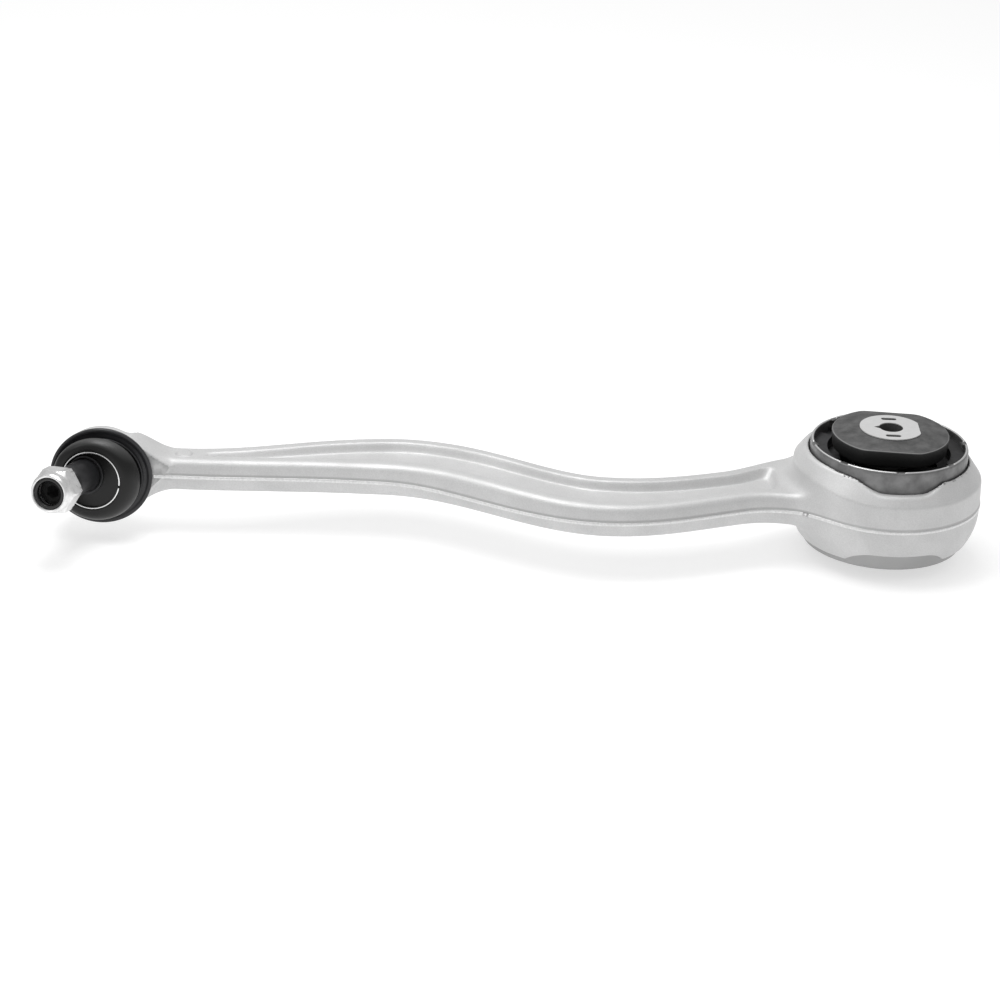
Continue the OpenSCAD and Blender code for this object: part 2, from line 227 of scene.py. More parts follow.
def collar_edges(x, y, z):
    """Distance above the collar's top edge or below its bottom edge. Both are cut back by a notch at the
    front and at the back."""
    turn = np.degrees(np.arctan2(y, x)) - notch_turn
    off_notch = np.abs(np.abs((turn + 360) % 360 - 180) - 90)
    top_run = np.clip((off_notch - top_notch_half) / top_notch_run, 0, 1)
    low_run = np.clip((off_notch - low_notch_half) / low_notch_run, 0, 1)
    top = z - collar_top + (collar_notch_d + 0.8) * (1 - top_run ** 1.7)
    bottom = collar_bottom + collar_notch_d * (1 - low_run ** 2) - z
    return np.where(np.hypot(x, y) < 70, np.maximum(top, bottom), -9)


def joint_housing(x, y, z):
    """Distance outside the ball joint's housing: a drum in front of the ball joined to a dome behind it,
    cut flat at the back."""
    radius = np.hypot(x + arm_length, z)
    drum = soft_max(radius - front_r, np.maximum(-y - face_h - 4, y + 1), 3)
    dome = np.sqrt(radius ** 2 + y ** 2) - dome_r
    return soft_max(soft_min(drum, dome, 6), y - back_y, 3)


def forging_solid(x, y, z):
    """Distance outside the forging: the three bodies run together, less the bush bore, the spot face
    around the ball joint and the ball's cavity."""
    blank = soft_min(arm_beam(x, y, z), collar_ring(x, y, z), collar_blend)
    blank = soft_max(blank, collar_edges(x, y, z), notch_round)
    blank = soft_min(blank, joint_housing(x, y, z), housing_blend)
    blank = soft_max(blank, sleeve_r + 0.05 - np.hypot(x, y), bore_round)
    around = np.hypot(x + arm_length, z)
    blank = soft_max(blank, np.minimum(-y - face_h, spot_face_r - around), spot_round)
    cavity = np.minimum(np.sqrt(around ** 2 + y ** 2), np.where(y < 0, around, 99)) - cavity_r
    return np.maximum(blank, -cavity)


def slope_of(solid, points):
    """The gradient of a solid's distance, by central differences a tenth of a millimetre wide."""
    reach = 0.05
    steps = reach * np.eye(3)
    return np.stack([solid(*(points + s).T) - solid(*(points - s).T) for s in steps], 1) / (2 * reach)


def skin_of(solid, low, high, step):
    """The surface where a solid's distance is zero. Each grid cell that it crosses gets one vertex, at the
    mean of the crossings on the cell's edges, and each crossed edge gets a quad of its four cells. The
    vertices are then moved down the distance's slope until they lie on the surface."""
    axes = [np.arange(a, b + step, step) for a, b in zip(low, high)]
    field = solid(axes[0][:, None, None], axes[1][None, :, None], axes[2][None, None, :])
    cells = tuple(n - 1 for n in field.shape)
    total = np.zeros(cells + (3,))
    count = np.zeros(cells)
    edges = []
    for axis in range(3):
        before = np.take(field, range(cells[axis]), axis)
        after = np.take(field, range(1, cells[axis] + 1), axis)
        crossed = (before < 0) != (after < 0)
        share = np.where(crossed, before / np.where(crossed, before - after, 1), 0)
        others = [k for k in range(3) if k != axis]
        for da in (0, 1):
            for db in (0, 1):
                part = [slice(None)] * 3
                part[others[0]] = slice(da, da + cells[others[0]])
                part[others[1]] = slice(db, db + cells[others[1]])
                hit = crossed[tuple(part)]
                count += hit
                total[..., axis] += share[tuple(part)]
                total[..., others[0]] += da * hit
                total[..., others[1]] += db * hit
        edges.append((crossed, before < 0, others))
    used = count > 0
    number = np.full(cells, -1)
    number[used] = np.arange(used.sum())
    place = np.argwhere(used) + total[used] / count[used][:, None]
    points = np.array(low) + step * place
    quads = []
    for axis, (crossed, inside, others) in enumerate(edges):
        at = np.argwhere(crossed)
        at = at[(at[:, others[0]] > 0) & (at[:, others[1]] > 0)]
        back_a, back_b = np.zeros(3, int), np.zeros(3, int)
        back_a[others[0]] = 1
        back_b[others[1]] = 1
        ring = [number[tuple((at - back).T)] for back in (back_a + back_b, back_b, 0 * back_a, back_a)]
        quad = np.stack(ring, 1)
        flip = inside[tuple(at.T)] != (axis != 1)
        quad[flip] = quad[flip][:, ::-1]
        quads.append(quad)
    for _ in range(4):
        slope = slope_of(solid, points)
        size = np.maximum((slope ** 2).sum(1), 0.2)
        points = points - np.clip(solid(*points.T) / size, -step, step)[:, None] * slope
    slope = slope_of(solid, points)
    return points, np.concatenate(quads), slope / np.linalg.norm(slope, axis=1)[:, None]


def make_piece(name, points, quads, normals=None, caps=()):
    """A smooth shaded object at the origin from points in millimetres and quads, with any end caps."""
    mesh = bpy.data.meshes.new(name)
    mesh.from_pydata((points * 0.001).tolist(), [], quads.tolist() + [cap.tolist() for cap in caps])
    mesh.polygons.foreach_set("use_smooth", np.ones(len(mesh.polygons), bool))
    if normals is not None:
        mesh.normals_split_custom_set_from_vertices(normals.tolist())
    mesh.update()
    piece = bpy.data.objects.new(name, mesh)
    scene.collection.objects.link(piece)
    return piece


def new_finish(name, colour, metallic, roughness):
    """A material, its shader, its node tree, and a maker of its nodes, which links or sets each input."""
    material = bpy.data.materials.new(name)
    material.use_nodes = True
    tree = material.node_tree
    shader = tree.nodes["Principled BSDF"]
    shader.inputs["Base Color"].default_value = (*colour, 1)
    shader.inputs["Metallic"].default_value = metallic
    shader.inputs["Roughness"].default_value = roughness

    def node(kind, output=0, settings=None, **inputs):
        made = tree.nodes.new(kind)
        for key, value in (settings or {}).items():
            setattr(made, key, value)
        for key, value in inputs.items():
            numbered = key[0] == "i" and key[1:].isdigit()
            socket = made.inputs[int(key[1:]) if numbered else key]
            if isinstance(value, bpy.types.NodeSocket):
                tree.links.new(value, socket)
            else:
                socket.default_value = value
        return made.outputs[output]

    return material, shader, tree, node


def noise_at(node, scale, detail=3, harshness=0.55):
    """Noise on the piece's own coordinates, at a scale in waves per metre."""
    place = node("ShaderNodeTexCoord", "Object")
    return node("ShaderNodeTexNoise", "Fac",
                Vector=place, Scale=scale, Detail=detail, Roughness=harshness)


def spread(node, value, low, high, to_low, to_high):
    """A value's range mapped to another one, and held inside it."""
    return node("ShaderNodeMapRange", 0, i0=value, i1=low, i2=high, i3=to_low, i4=to_high)


def mix_colour(node, factor, first, second, how="MIX"):
    """Two colours mixed by a factor."""
    return node("ShaderNodeMix", 2, dict(data_type="RGBA", blend_type=how), i0=factor, i6=first, i7=second)


def grey(level):
    """A neutral colour of one level."""
    return (level, level, level, 1)


def blasted_aluminium():
    """Satin grey aluminium: a fine blasted grain, faint cloudy stains, a dark line of painted shade just
    above the parting plane, and a darker machined spot face at the ball joint."""
    material, shader, tree, node = new_finish("blasted_aluminium", (0.64, 0.64, 0.63), 0.35, 0.55)
    cloud = spread(node, noise_at(node, 45, 4), 0.35, 0.7, 0, 1)
    grain = noise_at(node, 2600, 2)
    base = mix_colour(node, cloud, grey(0.58), grey(0.64))
    speck = spread(node, noise_at(node, 1500, 2), 0.3, 0.7, 0.93, 1.04)
    speck_grey = node("ShaderNodeCombineColor", 0, i0=speck, i1=speck, i2=speck)
    base = mix_colour(node, 1.0, base, speck_grey, "MULTIPLY")
    place = node("ShaderNodeTexCoord", "Object")
    split = node("ShaderNodeSeparateXYZ", 2, Vector=place)
    # A grey band just above the parting plane is painted shade along the flash line.
    off_shade_line = node("ShaderNodeMath", 0, dict(operation="ABSOLUTE"),
                    i0=node("ShaderNodeMath", 0, dict(operation="SUBTRACT"), i0=split, i1=0.0014))
    line = spread(node, off_shade_line, 0.0003, 0.0009, 0.5, 0)
    base = mix_colour(node, line, base, grey(0.3))
    depth = node("ShaderNodeSeparateXYZ", 1, Vector=place)
    along = node("ShaderNodeSeparateXYZ", 0, Vector=place)
    facing = node("ShaderNodeSeparateXYZ", 1, Vector=node("ShaderNodeNewGeometry", "Normal"))
    machined = node("ShaderNodeMath", 0, dict(operation="MULTIPLY"),
                    i0=node("ShaderNodeMath", 0, dict(operation="LESS_THAN"), i0=along, i1=-0.3645),
                    i1=node("ShaderNodeMath", 0, dict(operation="COMPARE"),
                            i0=depth, i1=-0.0125, i2=0.0006))
    flat = node("ShaderNodeMath", 0, dict(operation="MULTIPLY"),
                i0=spread(node, facing, -0.97, -0.995, 0, 1), i1=machined)
    streak = spread(node, noise_at(node, 160, 3), 0.35, 0.65, 0.3, 0.55)
    base = mix_colour(node, flat, base, node("ShaderNodeCombineColor", 0, i0=streak, i1=streak, i2=streak))
    tree.links.new(base, shader.inputs["Base Color"])
    tree.links.new(spread(node, cloud, 0, 1, 0.56, 0.46), shader.inputs["Roughness"])
    tree.links.new(node("ShaderNodeBump", 0, Strength=0.35, Distance=0.00012, Height=grain),
                   shader.inputs["Normal"])
    return material


forging_low, forging_high, forging_step = (-424.3, -54.3, -26.3), (52, 54, 28), 1.0
forging_points, forging_quads, forging_normals = skin_of(
    forging_solid, forging_low, forging_high, forging_step)
forging = make_piece("forged_arm", forging_points, forging_quads, forging_normals)
forging_finish = blasted_aluminium()
forging.data.materials.append(forging_finish)
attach(forging, "arm")
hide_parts("arm_forging")

# ------------------------------------------------------------------ trimmed flash line
# The narrow land left where the flash was sheared off in the parting plane, all round the arm.
flash_proud, flash_sunk = 0.3, -0.6
flash_half_h = 0.85


def outline_point(centre, direction):
    """Where rays that start in the metal leave the forging in its parting plane, found by halving."""
    near = np.full(len(centre), 0.0)
    away = np.full(len(centre), 80.0)
    for _ in range(40):
        middle = (near + away) / 2
        x, y = (centre + direction * middle[:, None]).T
        outside = forging_solid(x, y, 0 * x) > 0
        away = np.where(outside, middle, away)
        near = np.where(outside, near, middle)
    return centre + direction * away[:, None]


def ring_grid(rows, columns, closed):
    """Quads of a grid whose columns close on themselves, and whose rows do too if it is closed."""
    i = np.arange(rows if closed else rows - 1)[:, None]
    j = np.arange(columns)[None, :]
    i2, j2 = (i + 1) % rows, (j + 1) % columns
    quads = [i * columns + j, i * columns + j2, i2 * columns + j2, i2 * columns + j]
    return np.stack(quads, -1).reshape(-1, 4)


def end_caps(quads, count):
    """A face over each end of a tube whose rows have count points, wound to suit its sides."""
    total = quads.max() + 1
    caps = [np.arange(count)[::-1], np.arange(total - count, total)]
    return caps if quads[0, 0] == 0 else [cap[::-1] for cap in caps]


def swept(name, path, outward, section):
    """A closed tube along a flat path: each section point lies outward and up from the path's point, and a
    cap closes either end."""
    flat = path[:, None, :] + outward[:, None, :] * section[None, :, :1]
    height = np.broadcast_to(section[None, :, 1:], (len(path), len(section), 1))
    points = np.concatenate([flat, height], 2).reshape(-1, 3)
    quads = ring_grid(len(path), len(section), False)
    return make_piece(name, points, quads, caps=end_caps(quads, len(section)))


arm_x = np.linspace(-374, -48, 290)
arm_line = wave_chain(line_knots, 1 + arm_x / arm_length)
arm_slope = np.gradient(arm_line, arm_x)
side_way = np.stack([-arm_slope, np.ones_like(arm_x)], 1) / np.sqrt(1 + arm_slope ** 2)[:, None]
on_line = np.stack([arm_x, arm_line], 1)
round_a = np.radians(np.linspace(-147, 147, 300))
collar_way = np.stack([np.cos(round_a), np.sin(round_a)], 1)
flash_path = np.concatenate([outline_point(on_line, -side_way),
                             outline_point((sleeve_r + 2) * collar_way, collar_way),
                             outline_point(on_line[::-1], side_way[::-1])])
run = np.gradient(flash_path, axis=0)
flash_out = np.stack([run[:, 1], -run[:, 0]], 1) / np.linalg.norm(run, axis=1)[:, None]
flash_a = np.radians(np.linspace(-90, 90, 9))
flash_section = np.concatenate([
    np.stack([flash_proud * np.cos(flash_a), flash_half_h * np.sin(flash_a)], 1),
    [[flash_sunk, flash_half_h], [flash_sunk, -flash_half_h]]])
flash = swept("trimmed_flash_line", flash_path, flash_out, flash_section)
flash_finish, flash_shader, flash_tree, flash_node = new_finish(
    "sheared_flash", (0.86, 0.86, 0.85), 0.6, 0.42)
flash_mark = spread(flash_node, noise_at(flash_node, 900, 3), 0.3, 0.7, 0, 1)
flash_tree.links.new(mix_colour(flash_node, flash_mark, grey(0.64), grey(0.78)),
                     flash_shader.inputs["Base Color"])
flash.data.materials.append(flash_finish)
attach(flash, "arm")

# ------------------------------------------------------------------ ball joint: flange disc and clamp ring
# A pressed disc, painted black, holds the boot's foot against the housing. A round wire clamps the foot.
stud_swing = np.radians(18)
stud_tilt = np.radians(10)
flange_disc_t = 2.2
flange_bore_r = 19.4
foot_h = face_h + flange_disc_t
foot_r = 20
clamp_wire_r = 0.65


def about_ball(share, radius, angle, height):
    """Points at a radius and an angle around the housing's axis and at a height in front of the ball,
    turned about the ball by a share of the stud's swing to the side and its tilt upward."""
    x, y, z = radius * np.cos(angle), -height + 0 * angle, radius * np.sin(angle)
    swing, tilt = -stud_swing * share, -stud_tilt * share
    x, y = x * np.cos(swing) - y * np.sin(swing), x * np.sin(swing) + y * np.cos(swing)
    y, z = y * np.cos(tilt) - z * np.sin(tilt), y * np.sin(tilt) + z * np.cos(tilt)
    return np.stack([x, y, z], -1) + ball


def about_bush(radius, angle, height):
    """Points at a radius and an angle around the bush axis and at a height above the parting plane."""
    return np.stack([radius * np.cos(angle), radius * np.sin(angle), height + 0 * angle], -1)


def rounded(corners, radius, count=5):
    """A closed profile with each corner cut back by the radius along both its sides, at most to their
    middles, and bridged by a parabola."""
    p = np.array(corners, float)
    to_last, to_next = np.roll(p, 1, 0) - p, np.roll(p, -1, 0) - p
    def cut(way):
        size = np.linalg.norm(way, axis=1)
        return p + way * (np.minimum(radius, size * 0.49) / size)[:, None]
    a, b = cut(to_last), cut(to_next)
    t = np.linspace(0, 1, count)[None, :, None]
    return ((1 - t) ** 2 * a[:, None] + 2 * t * (1 - t) * p[:, None] + t ** 2 * b[:, None]).reshape(-1, 2)


def outward_first(points, faces):
    """The faces, all reversed if they enclose a negative volume."""
    corner = points[faces]
    a, b, c, d = corner[:, 0], corner[:, 1], corner[:, 2], corner[:, 3]
    volume = (np.cross(b - a, c - a) * a).sum() + (np.cross(c - a, d - a) * a).sum()
    return faces if volume > 0 else faces[:, ::-1]


def turned(name, profile, share=0.0, columns=144):
    """A closed profile of radius and height turned right round the ball joint's axis at a share."""
    angle = np.linspace(0, 2 * np.pi, columns, endpoint=False)[None, :]
    points = about_ball(share, profile[:, :1], angle, profile[:, 1:]).reshape(-1, 3)
    return make_piece(name, points, outward_first(points, ring_grid(len(profile), columns, True)))


def plain_finish(name, colour, metallic, roughness, mottle, bump, grain=1800, cloud=120):
    """A finish whose colour drifts by the mottle over a cloudy noise, with a fine bumped grain."""
    material, shader, tree, node = new_finish(name, colour, metallic, roughness)
    drift = spread(node, noise_at(node, cloud, 4), 0.3, 0.7, 0, 1)
    dark = tuple(c * (1 - mottle) for c in colour) + (1,)
    light = tuple(min(c * (1 + mottle), 1) for c in colour) + (1,)
    tree.links.new(mix_colour(node, drift, dark, light), shader.inputs["Base Color"])
    rough = spread(node, noise_at(node, cloud * 3, 3), 0.3, 0.7, roughness * 0.88, min(roughness * 1.12, 1))
    tree.links.new(rough, shader.inputs["Roughness"])
    height = noise_at(node, grain, 2)
    tree.links.new(node("ShaderNodeBump", 0, Strength=0.4, Distance=bump, Height=height),
                   shader.inputs["Normal"])
    return material


def finish_piece(piece, material, body, slot, *nodes):
    """Gives a piece its material, its body and the CAD nodes that it stands for. The slot is not used."""
    piece.data.materials.append(material)
    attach(piece, body)
    if nodes:
        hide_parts(*nodes)


black_paint = plain_finish("black_painted_steel", (0.02, 0.02, 0.022), 0.1, 0.36, 0.25, 0.00004)
flange_disc = turned("boot_flange_disc", rounded(
    [(flange_bore_r, face_h), (boot_rim_r, face_h), (boot_rim_r, foot_h), (boot_rim_r - 1.6, foot_h),
     (boot_rim_r - 2.6, foot_h - 0.5), (flange_bore_r, foot_h - 0.3)], 0.7))
finish_piece(flange_disc, black_paint, "arm", "black_steel", "boot_flange_ring")

clamp_a = np.linspace(0, 2 * np.pi, 16, endpoint=False)
clamp_profile = np.stack([foot_r + 0.7 + clamp_wire_r * np.cos(clamp_a),
                          foot_h + 1 + clamp_wire_r * np.sin(clamp_a)], 1)
clamp_wire = turned("boot_clamp_wire", clamp_profile)
dark_wire = plain_finish("blackened_spring_wire", (0.03, 0.03, 0.032), 0.6, 0.4, 0.2, 0.00002)
finish_piece(clamp_wire, dark_wire, "arm", "spring_steel", "boot_base_ring")

# ------------------------------------------------------------------ dust boot
# Moulded rubber, filled with grease: a skirt from the clamped foot to the bulge, a crown from the bulge to
# the mouth, and a funnel from the mouth down to the lip that grips the stud.
bulge_share, mouth_share = 0.25, 0.514
bulge_r, bulge_h = 22, 20.2
mouth_r, mouth_h = 14.4, 26.6
roll_out, roll_r = 1.4, 0.9
lip_r, lip_h = 8.7, 23.4


def boot_sheet(name, shares, radii, heights, wall=1.5, columns=160):
    """A closed wall around the boot's centre line. Each row is a ring at its own radius, height and share
    of the stud's swing, and the inner rows are the outer ones moved in by the wall across the profile."""
    run_r, run_h = np.gradient(radii), np.gradient(heights)
    size = np.hypot(run_r, run_h)
    inner_r, inner_h = radii - wall * run_h / size, heights + wall * run_r / size
    share = np.concatenate([shares, shares[::-1]])[:, None]
    radius = np.concatenate([radii, inner_r[::-1]])[:, None]
    height = np.concatenate([heights, inner_h[::-1]])[:, None]
    angle = np.linspace(0, 2 * np.pi, columns, endpoint=False)[None, :]
    points = about_ball(share, radius, angle, height).reshape(-1, 3)
    return make_piece(name, points, outward_first(points, ring_grid(len(share), columns, True)))


boot_rubber, boot_shader, boot_tree, boot_node = new_finish("boot_rubber", (0.006, 0.006, 0.006), 0, 0.34)
# The boot's upward faces are painted lighter: a painted highlight on the crown.
boot_up = boot_node("ShaderNodeSeparateXYZ", 2, Vector=boot_node("ShaderNodeNewGeometry", "Normal"))
boot_painted_highlight = spread(boot_node, boot_up, 0.45, 0.98, 0, 1)
boot_tree.links.new(mix_colour(boot_node, boot_painted_highlight, grey(0.006), grey(0.07)),
                    boot_shader.inputs["Base Color"])
boot_shader.inputs["Specular IOR Level"].default_value = 0.32
stud_way = about_ball(1, 0, 0, 1.0) - ball


t = np.linspace(0, 1, 18)
skirt = boot_sheet("boot_skirt", bulge_share * ease(t),
                   wave_chain([(0, foot_r), (0.35, foot_r - 0.2), (1, bulge_r)], t),
                   foot_h + 0.05 + (bulge_h - foot_h) * t)
skirt.data.materials.append(boot_rubber)
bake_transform(skirt)
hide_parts("dust_boot")

t = np.linspace(0, np.pi / 2, 30)
roll = np.linspace(0, np.pi, 10)[1:]
crown_r = np.concatenate([mouth_r + roll_out + (bulge_r - mouth_r - roll_out) * np.cos(t) ** 0.9,
                          mouth_r + roll_out - roll_r * np.sin(roll)])
crown_h = np.concatenate([bulge_h + (mouth_h - bulge_h) * np.sin(t) ** 1.1,
                          mouth_h - roll_r + roll_r * np.cos(roll)])
crown_share = np.concatenate([bulge_share + (mouth_share - bulge_share) * np.sin(t),
                              np.full(len(roll), mouth_share)])
crown = boot_sheet("boot_crown", crown_share, crown_r, crown_h, 0.8)
crown.data.materials.append(boot_rubber)
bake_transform(crown)

t = np.linspace(0, 1, 24)
funnel = boot_sheet("boot_funnel", mouth_share + (1 - mouth_share) * t,
                    mouth_r + 0.5 + (lip_r - mouth_r - 0.5) * t,
                    mouth_h - 1.8 + (lip_h - mouth_h + 1.8) * t - 0.2 * np.sin(np.pi * t), 0.6)
funnel.data.materials.append(boot_rubber)
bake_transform(funnel)

# ------------------------------------------------------------------ mouth ring and lip ring
# A split ring of bright spring wire lies in the boot's mouth, and a pressed ring in the lip grips the stud.
wire_r = 0.45
split_half = np.radians(2.5)
split_at = np.radians(-8)


def split_wire(name, share, ring_r, height, columns=180):
    """A round wire bent to a ring around the boot's centre line, with a gap and a cap on both ends."""
    around = split_at + np.linspace(split_half, 2 * np.pi - split_half, columns)[:, None]
    section = np.linspace(0, 2 * np.pi, 12, endpoint=False)[None, :]
    points = about_ball(share, ring_r + wire_r * np.cos(section), around,
                        height + wire_r * np.sin(section)).reshape(-1, 3)
    quads = outward_first(points, ring_grid(columns, section.size, False))
    return make_piece(name, points, quads, caps=end_caps(quads, section.size))


mouth_ring = split_wire("boot_mouth_wire", mouth_share, mouth_r + 0.3, mouth_h - 0.6)
bright_wire = plain_finish("bright_spring_wire", (0.9, 0.9, 0.9), 0.9, 0.22, 0.05, 0.00001)
finish_piece(mouth_ring, bright_wire, "boot_mouth", "spring_steel", "boot_mouth_ring")

lip_ring = turned("boot_lip_band", rounded(
    [(8.55, 23.1), (10, 23.1), (10, 24.7), (8.55, 24.7)], 0.4), 1.0)
finish_piece(lip_ring, dark_wire, "stud_lip", "black_steel", "boot_lip_ring")

# ------------------------------------------------------------------ ball stud
# Forged steel, ground on the ball and the taper and phosphated black. Its thread is rolled, and a hexagon
# socket in its end takes a key while the nut is turned.
ball_r = 14
neck_r = 7.6
shoulder_r, taper_r = 8.5, 8
thread_r, thread_pitch, thread_depth = 7, 1.5, 0.75
thread_from, thread_to = 47, 62.6
stud_end = 63.5
socket_r = 3
shaded_end_d = 5.5

stud_flat = np.radians(-62)
ball_a = np.linspace(stud_flat, np.arccos(neck_r / ball_r), 40)
stud_rows = np.concatenate([
    [(0.02, ball_r * np.sin(stud_flat))],
    np.stack([ball_r * np.cos(ball_a), ball_r * np.sin(ball_a)], 1),
    [(neck_r, 14), (neck_r, 20.2), (shoulder_r - 0.3, 21.6), (shoulder_r, 22.1), (shoulder_r, 26),
     (taper_r + 0.05, 45.4), (taper_r - 0.1, 46), (thread_r, 46.8)],
    np.stack([np.full(140, thread_r), np.linspace(46.9, 62.4, 140)], 1),
    [(thread_r - 1.2, stud_end), (socket_r + 0.5, stud_end), (socket_r, stud_end - 0.3),
     (socket_r, stud_end - 4.8), (0.02, stud_end - 5)]])
stud_a = np.linspace(0, 2 * np.pi, 144, endpoint=False)[None, :]
row_h = stud_rows[:, 1:]
row_r = stud_rows[:, :1]
wave = np.abs(((row_h / thread_pitch - stud_a / (2 * np.pi)) % 1) * 2 - 1)
threaded = ease((row_h - thread_from) / 1.5) * ease((thread_to - row_h) / 1) * (row_r > thread_r - 0.01)
hexed = 1 / np.cos((stud_a + np.pi / 6) % (np.pi / 3) - np.pi / 6) * np.cos(np.pi / 6)
in_socket = (row_r <= socket_r) & (row_h > 50) & (row_r > 0.1)
stud_radius = np.where(in_socket, row_r * hexed / np.cos(np.pi / 6), row_r - thread_depth * wave * threaded)
stud_points = about_ball(1, stud_radius, stud_a, row_h).reshape(-1, 3)
stud_quads = ring_grid(len(stud_rows), stud_a.size, True)
stud = make_piece("ball_stud_turned", stud_points, outward_first(stud_points, stud_quads))
phosphate = plain_finish("phosphated_steel", (0.028, 0.028, 0.03), 0.5, 0.36, 0.3, 0.00002, 1500, 220)
finish_piece(stud, phosphate, "stud", "stud_steel", "ball_stud")
# The stud's last few millimetres, down in the nut's bore, get a near black matte finish: painted shade.
stud.data.materials.append(plain_finish("stud_end_painted_shade", (0.003, 0.003, 0.003), 0, 0.85, 0.1, 0.00001))
for face in stud.data.polygons:
    height = (face.center * 1000 - Vector(ball)).dot(Vector(stud_way))
    face.material_index = int(height > stud_end - shaded_end_d)

# ------------------------------------------------------------------ nut and its nylon ring
# A zinc plated M14 lock nut: a chamfered hexagon with a round collar, rolled over a black nylon ring.
nut_half = 10.5
nut_rows = np.array([
    (7.2, 53.6), (8, 53), (9.4, 53), (9.9, 53.15), (11.2, 53.9), (12.2, 54.6), (12.3, 58), (12.3, 62.4),
    (11.4, 63.2), (10.9, 63.7), (10.45, 64.1), (10.3, 64.5), (10.25, 66.4), (10.15, 67.4), (9.8, 68.3),
    (9.3, 68.85), (8.8, 69), (8.3, 68.8), (8.1, 68.4), (8.05, 67.6), (8.05, 65.2), (7.05, 65.1),
    (7.05, 60), (7.05, 54)])
nut_a = np.linspace(0, 2 * np.pi, 180, endpoint=False)[None, :]
nut_hex = nut_half / np.cos(nut_a % (np.pi / 3) - np.pi / 6)
nut_radius = np.minimum(nut_rows[:, :1], nut_hex)
nut_points = about_ball(1, nut_radius, nut_a, nut_rows[:, 1:]).reshape(-1, 3)
nut_quads = ring_grid(len(nut_rows), nut_a.size, True)
nut = make_piece("lock_nut", nut_points, outward_first(nut_points, nut_quads))
nut_edges = nut.modifiers.new("edges", "EDGE_SPLIT")
nut_edges.split_angle = np.radians(25)
zinc = plain_finish("bright_zinc_plate", (0.8, 0.8, 0.8), 0.85, 0.3, 0.1, 0.00003, 700, 260)
finish_piece(nut, zinc, "stud", "zinc_steel", "stud_nut")

nylon_ring = turned("nylon_ring", rounded(
    [(6.25, 65.5), (8, 65.5), (8, 68.3), (6.25, 68.3)], 0.8), 1.0)
nylon = plain_finish("black_nylon", (0.012, 0.012, 0.012), 0, 0.3, 0.2, 0.00002)
finish_piece(nylon_ring, nylon, "stud", "nylon", "nut_insert")

# ------------------------------------------------------------------ bush sleeve
# A drawn steel sleeve pressed into the collar, its rims rolled inward and its top rim staked at seven tabs.
sleeve_rows = np.array([
    (36.9, -23.9), (39.6, -24), (40.6, -23.6), (41, -22.6), (41, -10), (41, 10), (41, 16), (40.8, 18),
    (40.4, 20), (40.3, 26), (40.2, 27.9), (39.9, 28.9), (39.5, 29.35), (39, 29.4), (38.6, 29.1),
    (38.5, 28.4), (38.6, 27), (38.7, 25.5), (38.7, 18), (39.2, 15), (39.2, -21.4), (36.9, -22.2)])
tab_places = np.radians([-132, -88, -44, 4, 62, 132, 187])
tab_half, tab_edge = np.radians(3.6), np.radians(0.8)
tab_in, tab_down = 1.7, 0.5
sleeve_a = np.linspace(0, 2 * np.pi, 720, endpoint=False)[None, :]
off_tab = np.abs((sleeve_a[0][:, None] - tab_places[None, :] + np.pi) % (2 * np.pi) - np.pi).min(1)[None, :]
tab = ease((tab_half - off_tab) / tab_edge)
rim_share = ((sleeve_rows[:, 1:] > 28.5) & (sleeve_rows[:, :1] < 39)).astype(float)
sleeve_radius = sleeve_rows[:, :1] - tab_in * tab * rim_share
sleeve_height = sleeve_rows[:, 1:] - tab_down * tab * (sleeve_rows[:, 1:] > 29)
sleeve_points = about_bush(sleeve_radius, sleeve_a, sleeve_height).reshape(-1, 3)
sleeve = make_piece("bush_sleeve_drawn", sleeve_points,
                    outward_first(sleeve_points, ring_grid(len(sleeve_rows), sleeve_a.size, True)))


def drawn_steel():
    """Dull grey drawn steel, brighter where the rim was rolled and towards its lower end."""
    material, shader, tree, node = new_finish("drawn_steel", (0.3, 0.295, 0.29), 0.7, 0.45)
    cloud = spread(node, noise_at(node, 130, 5), 0.35, 0.68, 0, 1)
    base = mix_colour(node, cloud, grey(0.15), grey(0.24))
    high = node("ShaderNodeSeparateXYZ", 2, Vector=node("ShaderNodeTexCoord", "Object"))
    rim = spread(node, high, 0.0289, 0.0293, 0, 1)
    base = mix_colour(node, rim, base, grey(0.6))
    base = mix_colour(node, spread(node, high, -0.012, -0.015, 0, 1), base, grey(0.36))
    tree.links.new(base, shader.inputs["Base Color"])
    tree.links.new(spread(node, cloud, 0, 1, 0.5, 0.38), shader.inputs["Roughness"])
    tree.links.new(node("ShaderNodeBump", 0, Strength=0.5, Distance=0.00012, Height=noise_at(node, 900, 4)),
                   shader.inputs["Normal"])
    return material


finish_piece(sleeve, drawn_steel(), "arm", "sleeve_steel", "bush_sleeve")

# ------------------------------------------------------------------ rubber stops
# Thick rubber discs with steel plates inside, cut flat at the front and the back. They limit the core's
# rocking. Their upward faces are grey with dust and painted sheen, and their rims carry a painted
# highlight.
stop_r, stop_flat, stop_bore_r = 30, 26.5, 13.02
stop_turn = np.radians(-5)


def stop_disc(name, rows, columns=240):
    """A disc with two flats: each row lies inset from an outline that is the smaller of the radius and the
    distance to the flats, or at its own radius if that is given as positive."""
    rows = np.array(rows, float)
    angle = np.linspace(0, 2 * np.pi, columns, endpoint=False)[None, :]
    to_flat = stop_flat / np.maximum(np.abs(np.sin(angle)), 0.2)
    outline = soft_min(np.full_like(angle, stop_r), to_flat, 1.5)
    radius = np.where(rows[:, :1] > 0, rows[:, :1] + 0 * angle, outline + rows[:, :1])
    points = about_bush(radius, angle + stop_turn, rows[:, 1:]).reshape(-1, 3)
    return make_piece(name, points, outward_first(points, ring_grid(len(rows), columns, True)))


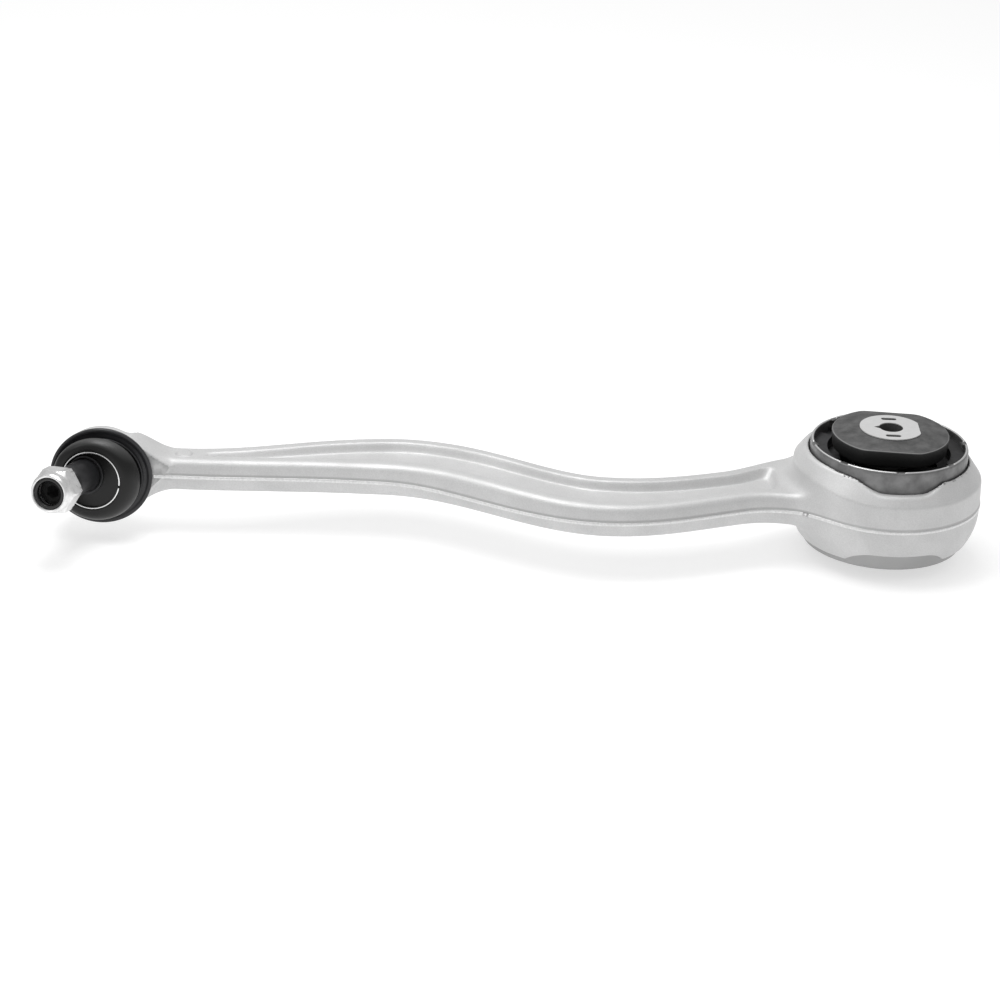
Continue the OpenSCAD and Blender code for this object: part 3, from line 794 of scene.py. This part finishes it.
def dust_and_sheen_rubber():
    """Black rubber whose upward faces are grey with dust and painted sheen, and lighter at the rim with a
    painted highlight.
    """
    material, shader, tree, node = new_finish("dust_and_sheen_rubber", (0.03, 0.03, 0.032), 0, 0.6)
    up = node("ShaderNodeSeparateXYZ", 2, Vector=node("ShaderNodeNewGeometry", "Normal"))
    cloud = spread(node, noise_at(node, 140, 6, 0.65), 0.35, 0.7, 0, 1)
    dust_and_sheen = mix_colour(node, cloud, grey(0.045), grey(0.115))
    # Faces turned up are grey with dust and painted sheen.
    base = mix_colour(node, spread(node, up, 0.75, 0.98, 0, 1), grey(0.008), dust_and_sheen)
    # Sloped faces at the rounded rim are lighter: a painted highlight.
    rim = node("ShaderNodeMath", 0, dict(operation="MULTIPLY"),
               i0=spread(node, up, 0.35, 0.6, 0, 1), i1=spread(node, up, 0.97, 0.8, 0, 1))
    base = mix_colour(node, rim, base, grey(0.2))
    tree.links.new(base, shader.inputs["Base Color"])
    tree.links.new(node("ShaderNodeBump", 0, Strength=0.5, Distance=0.0001, Height=noise_at(node, 700, 5)),
                   shader.inputs["Normal"])
    return material


stop_rubber = dust_and_sheen_rubber()
top_stop = stop_disc("top_stop_moulded", [
    (stop_bore_r, 26.5), (-1.4, 26.5), (-1.0, 26.6), (-0.8, 27), (-0.1, 33.8), (-0.1, 34.3), (-0.3, 34.7),
    (-0.7, 34.95), (-1.3, 35), (-5, 35.4), (17.5, 36.5), (16.4, 36.7), (stop_bore_r, 36.7)])
finish_piece(top_stop, stop_rubber, "core", "stop_rubber", "top_stop", "top_stop_plate")
bottom_stop = stop_disc("bottom_stop_moulded", [
    (stop_bore_r, -22.4), (-1.2, -22.4), (-0.8, -22.8), (-0.1, -27.8), (-0.3, -28.5), (-0.9, -29),
    (-6, -29), (17, -29), (stop_bore_r, -29)])
finish_piece(bottom_stop, stop_rubber, "core", "stop_rubber", "bottom_stop", "bottom_stop_plate")

# ------------------------------------------------------------------ pieces carried over from the frame
# The die cast core and the pieces inside the bush and the ball joint keep their built shape.
core_alloy, core_shader, core_tree, core_node = new_finish("die_cast_alloy", (0.7, 0.7, 0.69), 0.2, 0.6)
core_high = core_node("ShaderNodeSeparateXYZ", 2, Vector=core_node("ShaderNodeTexCoord", "Object"))
# Over the length that sits inside the bush, the core is painted near black: painted shade. Only its ends
# keep the alloy's grey.
core_middle, core_half = 0.00315, 0.0338
core_painted_shade = core_node("ShaderNodeMath", 0, dict(operation="COMPARE"),
                      i0=core_high, i1=core_middle, i2=core_half)
core_cloud = mix_colour(core_node, noise_at(core_node, 420, 4), grey(0.54), grey(0.64))
core_tree.links.new(mix_colour(core_node, core_painted_shade, core_cloud, grey(0.09)),
                    core_shader.inputs["Base Color"])
bush_rubber = plain_finish("bush_rubber", (0.02, 0.02, 0.021), 0, 0.55, 0.4, 0.00006, 900, 150)
channel_plastic = plain_finish("glass_filled_nylon", (0.05, 0.05, 0.055), 0, 0.5, 0.2, 0.00004)
acetal = plain_finish("natural_acetal", (0.85, 0.83, 0.76), 0, 0.35, 0.05, 0.00001)
carried = {
    core_alloy: ["bush_core"],
    bush_rubber: ["main_spring", "bump_ring_top", "bump_ring_bottom", "seal_ring_top", "seal_ring_bottom"],
    channel_plastic: ["channel_shell_left", "channel_shell_right"],
    acetal: ["ball_seat"],
    black_paint: ["retaining_ring", "window_cage"],
}
for material, names in carried.items():
    for name in names:
        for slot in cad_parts[name].material_slots:
            slot.material = material

# ------------------------------------------------------------------ floor finish
floor_finish, floor_shader = new_finish("white_floor", (0.5, 0.5, 0.5), 0, 0.95)[:2]
floor_shader.inputs["Specular IOR Level"].default_value = 0
floor_shader.inputs["Emission Color"].default_value = (1, 1, 1, 1)
floor_shader.inputs["Emission Strength"].default_value = 0.62
floor.data.materials.append(floor_finish)

bpy.context.view_layer.update()
